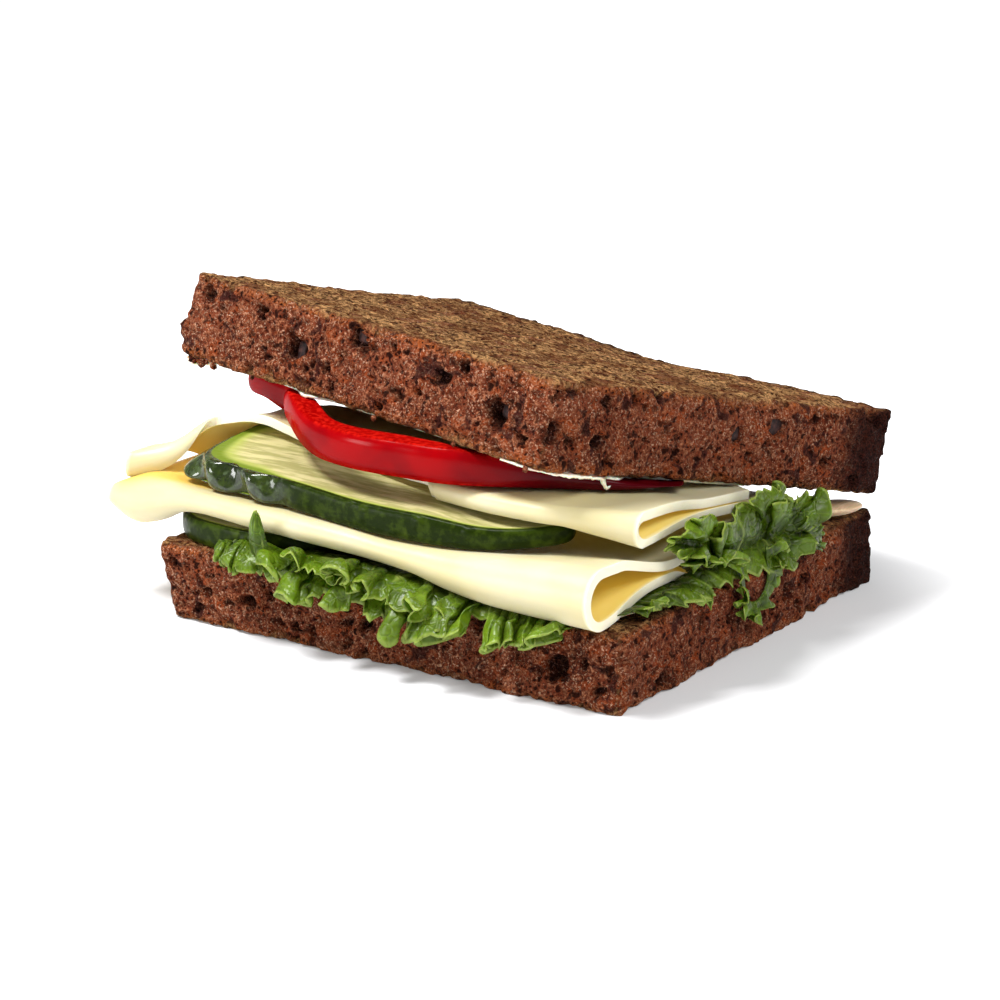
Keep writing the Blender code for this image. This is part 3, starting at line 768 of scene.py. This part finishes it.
def pepper_ring(finish):
    """A ring cut across the pepper: a hollow wall, squared off, its skin on the outside."""
    bm = bmesh.new()
    bmesh.ops.create_grid(bm, x_segments=360, y_segments=48, size=0.5)
    skin, shade = mark(bm, "skin"), mark(bm, "shade")
    for vert in bm.verts:
        angle, turn = 360 * (vert.co.x + 0.5), TAU * (vert.co.y + 0.5)
        in_out = 0.5 + 0.5 * math.copysign(abs(math.cos(turn)) ** 0.45, math.cos(turn))
        up_down = 0.5 + 0.5 * math.copysign(abs(math.sin(turn)) ** 0.45, math.sin(turn))
        belly = math.sin(math.pi * up_down)
        wall = RING_WALL - 0.8 * belly * (1 - in_out) + 0.5 * math.sin(math.radians(angle * 7)) * (1 - in_out)
        radius = along(RING_OUT, angle % 360) - wall * (1 - in_out) + 0.55 * belly * in_out - 0.3
        x = RING_CENTRE[0] + radius * math.cos(math.radians(angle))
        y = RING_CENTRE[1] + radius * math.sin(math.radians(angle))
        foot = ring_foot(x, y)
        roof = min(foot + RING_TALL, lid(x, y) - 0.6)
        sink = 0.5 * math.sin(math.pi * in_out) * up_down
        vert[skin] = ease(0.9, 0.985, in_out)
        # shade grows towards the ring's right part, where painted shadow stands for the top slice's overhang
        vert[shade] = ease(8, 34, x)
        vert.co = Vector((x, y, foot + (roof - foot) * up_down - sink))
    bmesh.ops.remove_doubles(bm, verts=bm.verts, dist=0.0005)
    return piece("pepper_ring_flesh", bm, finish, ("pepper_ring",))


# ---------------------------------------------------------------- lettuce

def curve(points, t):
    """Place along a smooth path through evenly spaced points."""
    at = min(max(t, 0.0), 1.0) * (len(points) - 1)
    i = min(int(at), len(points) - 2)
    f = at - i
    one, two = Vector(points[i]), Vector(points[i + 1])
    before = Vector(points[i - 1]) if i > 0 else one * 2 - two
    after = Vector(points[i + 2]) if i + 2 < len(points) else two * 2 - one
    return 0.5 * (one * 2 + (two - before) * f + (before * 2 - one * 5 + two * 4 - after) * f ** 2
                  + (one * 3 - before - two * 3 + after) * f ** 3)


def leaf(name, root, shoulder, tip, ruffles, swing, seed, slot, finish, face, replaces,
         teeth=16, tooth=2.0, cells=(260, 24)):
    """A frilly piece of leaf: flat at its root and folding more and more towards its toothed edge."""
    draw = random.Random(seed)
    jag = [draw.uniform(0.25, 1.0) for _ in range(teeth + 2)]
    shift = [draw.uniform(0, TAU) for _ in range(5)]
    out = Vector(face)
    bm = bmesh.new()
    bmesh.ops.create_grid(bm, x_segments=cells[0], y_segments=cells[1], size=0.5)
    edge, vein = mark(bm, "tip"), mark(bm, "vein")
    for vert in bm.verts:
        u, v = vert.co.x + 0.5, vert.co.y + 0.5
        high, mid, low = curve(root, u), curve(shoulder, u), curve(tip, u)
        run = (curve(tip, u + 0.01) - curve(tip, u - 0.01)).normalized()
        hang = ((mid - high) * (1 - v) + (low - mid) * v).normalized()
        rise = run.cross(hang).normalized()
        if rise.dot(out) < 0:
            rise = -rise
        drift = 0.4 * math.sin(TAU * 1.7 * u + shift[0]) + 0.16 * math.sin(TAU * 4.3 * u + shift[1])
        phase = TAU * (ruffles * u + drift) + 0.9 * math.sin(2.0 * v + shift[4])
        uneven = 0.8 + 0.42 * math.sin(TAU * 2.3 * u + shift[2]) + 0.3 * math.sin(TAU * 5.9 * u)
        size = swing * uneven * v ** 1.2
        spot = high * (1 - v) ** 2 + mid * (2 * v * (1 - v)) + low * v ** 2
        spot += rise * size * (0.35 + math.cos(phase)) + run * size * 0.75 * math.sin(2 * phase)
        spot += wander(spot * 0.28) * 0.8 * swing * v
        small = 0.32 * swing * v ** 3
        spot += (rise * small * math.cos(2.7 * phase + shift[3])
                 + run * small * math.sin(3.3 * phase + shift[4]))
        k = u * teeth
        saw = (1 - abs((k % 1.0) - 0.5) * 2) * jag[int(k)]
        reach = tooth * saw - 0.5 * tooth + 0.5 * swing * math.cos(phase + shift[1])
        spot += hang * reach * ease(0.55, 1.0, v)
        vert[edge] = v
        vert[vein] = max(0.0, 1 - abs(math.sin(phase / 2 + shift[3])) * (4 + 10 * v)) * (1 - 0.5 * v)
        vert.co = spot
    thicken(piece(name, bm, finish, replaces), LEAF_THICK)


# ---------------------------------------------------------------- small things

def rib(name, centre, half, turn, lift, point, finish, slot):
    """The pale end of a leaf rib: a flat tongue that narrows to its tip."""
    bm = bmesh.new()
    bmesh.ops.create_uvsphere(bm, u_segments=64, v_segments=32, radius=1.0)
    for vert in bm.verts:
        x, y, z = vert.co
        narrow = 1 - point * ease(-0.2, 1.0, x)
        vert.co = Vector((x, y * narrow, z * (1 - 0.3 * y * y) + 0.35 * y * y * narrow))
    bmesh.ops.scale(bm, vec=half, verts=bm.verts)
    spin = Euler((math.radians(lift), 0, math.radians(turn))).to_matrix().to_4x4()
    bmesh.ops.transform(bm, matrix=Matrix.Translation(centre) @ spin, verts=bm.verts)
    return piece(name, bm, finish, (slot,))


def butter_front(t):
    """A place on the top slice's front edge, how much butter shows there and how far it hangs."""
    x = -52.5 + 105.0 * t
    show = ease(-45, -52, x) + 0.9 * math.exp(-((x + 14) / 4.0) ** 2)
    show += 0.5 * math.exp(-((x - 47) / 5.0) ** 2)
    return (x, -50.5), (0, 1), show, 1.1 * ease(-44, -49, x) * ease(-53, -51, x)


def butter_right(t):
    """The same along the right edge, with one drip."""
    y = -50.0 + 60.0 * t
    show = ease(-52, -42, y) * ease(-22, -30, y) + 0.35 * ease(-24, -10, y)
    return (53.5, y), (-1, 0), show, 1.9 * math.exp(-((y + 31.5) / 1.3) ** 2)


def butter_spread(name, path, finish):
    """Soft butter under the top slice, showing where it was pressed out past an edge."""
    bm = bmesh.new()
    bmesh.ops.create_grid(bm, x_segments=260, y_segments=16, size=0.5)
    for vert in bm.verts:
        t, v = vert.co.x + 0.5, vert.co.y + 0.5
        rim, inward, show, drip = path(t)
        wave = 0.35 * math.sin(110 * t) + 0.3 * math.sin(241 * t + 1.0) + 0.3 * math.sin(530 * t)
        deep = 3.2 - 3.3 * min(show, 1.0) + 0.3 * wave * show + 8 * v
        z = -0.3 - (0.45 * show * (1 + 0.6 * wave) + drip) * ease(0.2, 0.0, v)
        vert.co = TOP_PLACE @ Vector((rim[0] + inward[0] * deep, rim[1] + inward[1] * deep, z))
    thicken(piece(name, bm, finish), BUTTER_THICK)


def crumbs(finish, places, seed):
    """Loose crumbs of the bread, one small rough lump for each place."""
    draw = random.Random(seed)
    bm = bmesh.new()
    for place, width in places:
        made = bmesh.ops.create_icosphere(bm, subdivisions=2, radius=width / 2)
        for vert in made["verts"]:
            vert.co *= draw.uniform(0.75, 1.15)
            vert.co.x *= 1.3
        turn = Euler([draw.uniform(0, TAU) for _ in range(3)]).to_matrix().to_4x4()
        seat = Matrix.Translation(TOP_PLACE @ Vector(place))
        bmesh.ops.transform(bm, matrix=seat @ turn, verts=made["verts"])
    return piece("loose_crumbs", bm, finish)


def grains(name, finish, places):
    """Whole dark grains baked into the top slice, a blunt block for each."""
    bm = bmesh.new()
    for place, half in places:
        made = bmesh.ops.create_cube(bm, size=2.0)
        edges = dict.fromkeys(e for v in made["verts"] for e in v.link_edges)
        bmesh.ops.subdivide_edges(bm, edges=list(edges), cuts=5, use_grid_fill=True)
        for vert in [v for v in bm.verts if not v.tag]:
            vert.tag = True
            p = vert.co * 0.55 + vert.co.normalized() * 0.6
            p = p + wander(p * 1.3 + Vector(place)) * 0.14
            vert.co = TOP_PLACE @ (Vector(place) + p * Vector(half))
    return piece(name, bm, finish)


def grain_finish():
    """Dark malted grain: nearly black with brown clouds and a soft shine."""
    f = Finish("dark_malted_grain", Roughness=0.5, Specular_IOR_Level=0.15)
    cloud = f.noise(1.2, 3.0, 0.6)
    f.relief(cloud, 0.3, 0.7)
    return f.paint(Base_Color=f.blend(cloud.step(0.4, 0.65), tone(22, 10, 9), tone(62, 36, 32)))


# ---------------------------------------------------------------- studio

VIEW_TURN, VIEW_RISE = math.radians(33.8), math.radians(16.0)
VIEW_DISTANCE = 0.6
VIEW_CENTRE = Vector((-0.0066, 0.0, 0.0198))
DAYLIGHT = 0.28
# painted light: the floor's own glow, dim near the sandwich and bright away from it
FLOOR_NEAR, FLOOR_FAR = (0.14, 0.14, 0.14), (0.8, 0.8, 0.8)


def camera():
    """The viewpoint: a long lens from the front right, a little above."""
    level = math.cos(VIEW_RISE)
    back = Vector((math.sin(VIEW_TURN) * level, -math.cos(VIEW_TURN) * level, math.sin(VIEW_RISE)))
    data = bpy.data.cameras.new("camera")
    data.lens, data.sensor_width, data.clip_start = 104.9, 36.0, 0.01
    seat = bpy.data.objects.new("camera", data)
    bpy.context.scene.collection.objects.link(seat)
    seat.location = VIEW_CENTRE + back * VIEW_DISTANCE
    seat.rotation_euler = back.to_track_quat("Z", "Y").to_euler()
    bpy.context.scene.camera = seat


def lamp(name, power, size, place, target=(0.0, 0.0, 0.02)):
    """A soft square lamp turned towards the sandwich."""
    data = bpy.data.lights.new(name, "AREA")
    data.energy, data.size = power, size
    seat = bpy.data.objects.new(name, data)
    bpy.context.scene.collection.objects.link(seat)
    seat.location = place
    seat.rotation_euler = (Vector(place) - Vector(target)).to_track_quat("Z", "Y").to_euler()


def studio():
    """White daylight, three soft lamps and a pale floor that brightens away from the sandwich."""
    scene = bpy.context.scene
    scene.view_settings.view_transform = "Standard"
    world = bpy.data.worlds.new("studio")
    scene.world = world
    world.use_nodes = True
    sky = world.node_tree.nodes["Background"]
    sky.inputs[0].default_value = (1.0, 1.0, 1.0, 1.0)
    sky.inputs[1].default_value = DAYLIGHT
    lamp("key", 6.6, 0.18, (-0.24, -0.26, 0.64))
    lamp("fill", 3.2, 0.26, (0.46, -0.20, 0.50))
    lamp("low strip", 1.3, 0.16, (-0.42, -0.50, 0.16))
    bm = bmesh.new()
    bmesh.ops.create_grid(bm, x_segments=1, y_segments=1, size=3.0)
    mesh = bpy.data.meshes.new("floor")
    bm.to_mesh(mesh)
    bm.free()
    floor = bpy.data.objects.new("floor", mesh)
    scene.collection.objects.link(floor)
    f = Finish("pale_floor", Roughness=0.9, Emission_Strength=1.0)
    far = f.add("ShaderNodeVectorMath", {"operation": "LENGTH"}, {0: f.where}, out="Value")
    # painted light: the floor glows dimly within about 70 mm of the sandwich so its shadows show, and
    # brightly past 106 mm so it reads white
    glow = f.blend(far.step(70.0, 106.0), FLOOR_NEAR, FLOOR_FAR)
    mesh.materials.append(f.paint(Base_Color=(0.64, 0.64, 0.65), Emission_Color=glow))


# ---------------------------------------------------------------- build

camera()
studio()
RYE = rye_crumb()
rye_slice("bread_bottom_crumb", BOTTOM_CORNERS, BOTTOM_THICK, Matrix.Identity(4), 11, "bread_bottom", RYE,
          worn_bottom, BOTTOM_HOLLOWS)
rye_slice("bread_top_crumb", TOP_CORNERS, TOP_THICK, TOP_PLACE, 47, "bread_top", RYE, worn_top, TOP_HOLLOWS)

CREAM = cheese_finish("pale_cheese", (206, 198, 163), 0.0)
# painted light: the inside of the folds gets a yellow tone and a faint glow for the light held between the
# layers
FOLD = cheese_finish("cheese_inside_fold", (232, 210, 126), 0.09)
cheese_slice("cheese_lower_slice", (150, 150), cheese_low, under_bridge, CREAM, FOLD, "cheese_lower")
cheese_slice("cheese_upper_slice", (150, 120), cheese_up, lambda x, y, z: 0.0, CREAM, FOLD, "cheese_upper")

CUCUMBER = cucumber_finish()
cucumber_slice("cucumber_upper_slice", CUKE_UP_HALF, CUKE_UP_CENTRE, CUKE_UP_YAW, CUKE_THICK, bed_up,
               4.0, 0.11, 1.4, CUCUMBER)
cucumber_slice("cucumber_lower_slice", CUKE_LOW_HALF, CUKE_LOW_CENTRE, 0.0, CUKE_LOW_THICK, bed_low,
               0.6, 0.0, 0.0, CUCUMBER)
pepper_ring(pepper_finish())

LEAF = leaf_finish("lettuce_leaf", (38, 58, 2), (80, 106, 8))
SHADY = leaf_finish("lettuce_leaf_in_shade", (28, 42, 0), (58, 82, 4))
# each leaf piece: name, finish, ruffles, swing, seed, then the paths of its root, shoulder and tip
LEAVES = (
    ("front_core", LEAF, 6, 0.6, 5,
     ((-38, -42, 17.2), (-10, -42, 17.2), (42, -44, 16.2)),
     ((-38, -51.5, 19.5), (-10, -51.6, 19.5), (42, -51.6, 16.6)),
     ((-36, -52.2, 14.5), (-8, -52.4, 13), (40, -52.4, 14)), {}),
    ("front_left", LEAF, 1.4, 1.3, 6,
     ((-40, -46, 17.5), (-34, -46, 18), (-27, -46, 18)),
     ((-40, -52.5, 20.5), (-34, -54, 21), (-28, -53, 20.5)),
     ((-37, -53.5, 17.0), (-33, -55.0, 14.0), (-27, -54.5, 15)), {"teeth": 6, "cells": (90, 22)}),
    ("front_low", LEAF, 6.5, 2.4, 7,
     ((-29, -45, 17.5), (-10, -45, 17.5), (6, -45, 17.5), (24, -45, 16.6)),
     ((-29, -53, 19.5), (-10, -53, 19.5), (6, -53, 19.0), (25, -53, 17)),
     ((-25, -55.5, 15.5), (-15, -56.5, 11.5), (-2, -56.5, 11.8), (10, -56.5, 9.0), (23, -56.0, 11.5)),
     {"teeth": 30, "cells": (340, 26)}),
    ("front_high", LEAF, 5.5, 1.9, 8,
     ((-20, -46, 18.5), (0, -46, 18.5), (18, -46, 17.5)),
     ((-20, -54.0, 20.5), (0, -54.0, 20), (20, -54.0, 17.5)),
     ((-18, -57.0, 18.0), (0, -57.6, 16.5), (20, -57.6, 13.5)), {"teeth": 24, "cells": (300, 26)}),
    ("front_right", LEAF, 3, 1.9, 9,
     ((24, -46, 16.5), (33, -46, 16.4), (44, -46, 16.3)),
     ((25, -53, 17.0), (34, -53, 17.0), (45, -52.5, 16.6)),
     ((27, -55.8, 9.5), (34, -56.0, 11), (43, -54.6, 14)), {"teeth": 12, "cells": (180, 24)}),
    ("front_spike", LEAF, 0.4, 0.2, 10,
     ((-29.2, -53.6, 18.5), (-27.0, -54.6, 18.0), (-24.6, -53.8, 18.5)),
     ((-29.8, -54.4, 23), (-27.2, -55.9, 23), (-24.6, -54.6, 23)),
     ((-27.4, -54.6, 27.0), (-27.0, -54.8, 27.6), (-26.6, -54.6, 27.0)),
     {"teeth": 3, "tooth": 0.3, "cells": (24, 20)}),
    ("right_core", SHADY, 6, 0.8, 15,
     ((44, -38, 17), (44, 0, 17), (44, 30, 17)),
     ((52, -36, 20), (52.5, 0, 24), (52, 28, 20)),
     ((54.2, -30, 16.5), (54.6, 0, 15), (54.2, 26, 16)), {}),
    ("right_back", SHADY, 4.5, 1.6, 21,
     ((50.8, -16, 17.5), (50.8, 4, 17.5), (50.8, 26, 17)),
     ((54.5, -18, 22), (54.8, 4, 23), (54.2, 26, 20)),
     ((52.6, -20, 27.5), (52.8, 2, 29), (52.6, 25, 24.5)), {"teeth": 18}),
    ("right_fan", SHADY, 8, 2.0, 16,
     ((50, 5, 21), (50, 8, 22), (50, 10, 22), (50, 12, 21), (50, 11, 20), (50, 8, 19), (50, 5, 19)),
     ((54, 0, 26), (54.5, 6, 27), (54.5, 12, 26), (54, 17, 23), (54.5, 16, 19), (54.5, 11, 16),
      (54.5, 4, 17)),
     ((53, -6, 29.5), (53, 4, 30), (53.5, 14, 26.5), (53.5, 22, 24.5), (55, 20, 17.5), (55.5, 12, 13.6),
      (56, 2, 15.5)), {"teeth": 30}),
    ("right_cluster", LEAF, 5, 2.2, 17,
     ((50, -10, 24), (50, -14, 24), (50, -14, 22), (50, -10, 21)),
     ((53.5, -16, 28), (54, -22, 27), (54.5, -21, 23), (55, -12, 20)),
     ((52, -18, 30), (53, -33, 28.5), (55, -24, 22.0), (56, -8, 19.5)), {}),
    ("right_under", SHADY, 4, 1.5, 18,
     ((46, -47, 16.6), (46, -36, 17.4), (46, -22, 18)),
     ((53, -46, 18.5), (54, -36, 20), (54, -22, 21)),
     ((54.0, -43, 19.0), (55.0, -34, 17.2), (55.6, -21, 14.4)), {"teeth": 14, "cells": (180, 20)}),
    ("right_strand", LEAF, 5, 1.5, 19,
     ((55, -8.5, 22), (55.2, -7.5, 15), (55.2, -6.0, 11), (55.2, -2.0, 10), (55.2, 1.5, 13), (55, 1.0, 20)),
     ((56, -10.5, 22), (56.2, -9.5, 15), (56.2, -7.5, 9.5), (56.2, -2.0, 8.5), (56.2, 3.0, 12),
      (56, 3.0, 20)),
     ((55.4, -12.5, 22), (55.6, -11.5, 15), (55.6, -9.5, 8.5), (55.6, -2.0, 6.6), (55.6, 5.0, 10.5),
      (55.4, 5.0, 20)), {"teeth": 18, "cells": (200, 14)}),
    ("right_short", LEAF, 2, 0.5, 20,
     ((54.6, 15, 20), (55, 19, 18), (55, 20.5, 14.5)),
     ((55.4, 16, 21), (56, 21.5, 18.5), (55.8, 22.5, 14)),
     ((54.8, 17, 22), (55.2, 23.5, 19), (55.2, 24.5, 13)), {"teeth": 6, "tooth": 0.6, "cells": (80, 12)}),
)
OUTWARDS = {"lettuce_front": (0, -1, 0), "lettuce_right": (1, 0, 0)}
for part, finish, ruffles, swing, seed, root, shoulder, tip, teeth in LEAVES:
    whole = "lettuce_" + part.split("_")[0]
    stands_for = (whole,) if part.endswith("_core") else ()
    leaf("lettuce_" + part, root, shoulder, tip, ruffles, swing, seed, whole, finish, OUTWARDS[whole],
         stands_for, **teeth)

rib("rib_front_end", (46.4, -39.0, 16.4), (5.4, 4.4, 0.7), -70.0, 0.0, 0.7,
    rib_finish("pale_rib", (226, 214, 178)), "rib_front")
rib("rib_right_end", (50.6, 39.0, 17.9), (6.2, 4.4, 1.5), 60.0, -3.0, 0.2,
    rib_finish("rosy_rib", (226, 200, 168)), "rib_right")
grains("dark_grains", grain_finish(), GRAINS)
BUTTER = butter_finish()
crumbs(RYE, CRUMBS, 71)
butter_spread("butter_front_edge", butter_front, BUTTER)
butter_spread("butter_right_edge", butter_right, BUTTER)
